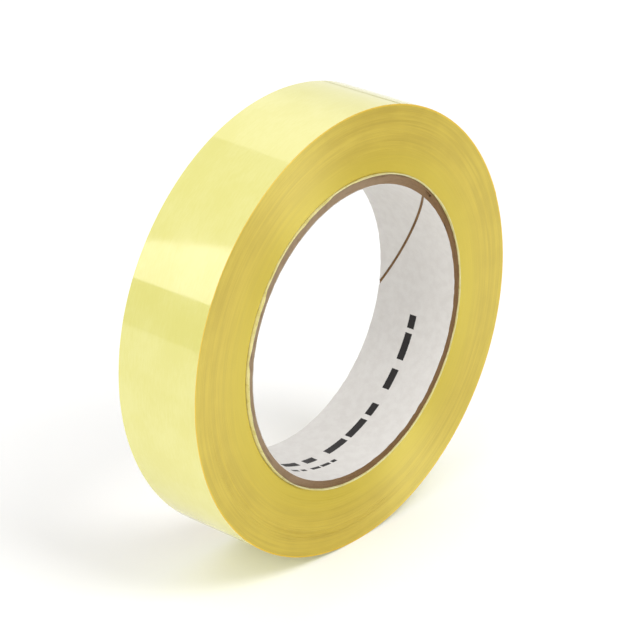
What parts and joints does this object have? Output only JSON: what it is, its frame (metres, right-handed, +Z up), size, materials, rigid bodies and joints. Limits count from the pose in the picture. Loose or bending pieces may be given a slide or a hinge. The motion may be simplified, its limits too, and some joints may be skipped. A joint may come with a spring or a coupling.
{
  "type": "electrical tape roll",
  "caption": "Roll of yellow polyester film electrical tape on a spiral-wound paperboard core, with a free end that peels off the outer turn.",
  "frame": {"origin": "centre of the roll, on its axis and midway between its two faces", "axes": "+Y is the roll's axis, from the front face to the back face; +Z is up with the roll standing on its edge; +X is to the right seen from the front"},
  "size_m": [0.1167, 0.0258, 0.1168],
  "materials": {
    "liner_paper": "matte",
    "kraft_paperboard": "matte",
    "tape_slit_edge": "satin",
    "tape_film": "gloss"
  },
  "bodies": {
    "roll": {"core_liner": "liner_paper", "core_kraft_ply_1": "kraft_paperboard", "core_kraft_ply_2": "kraft_paperboard", "core_kraft_ply_3": "kraft_paperboard", "core_kraft_ply_4": "kraft_paperboard", "tape_start_turns": "tape_slit_edge", "tape_wound_turns": "tape_slit_edge", "tape_last_turn": "tape_film"},
    "free_end": {"tape_free_end": "tape_film"}
  },
  "joints": [
    {"name": "free_end_peel", "type": "hinge", "parent": "roll", "child": "free_end", "pos_m": [0.04519, 0, 0.03708], "axis": [0, -1, 0], "range_deg": [0, 90]}
  ]
}
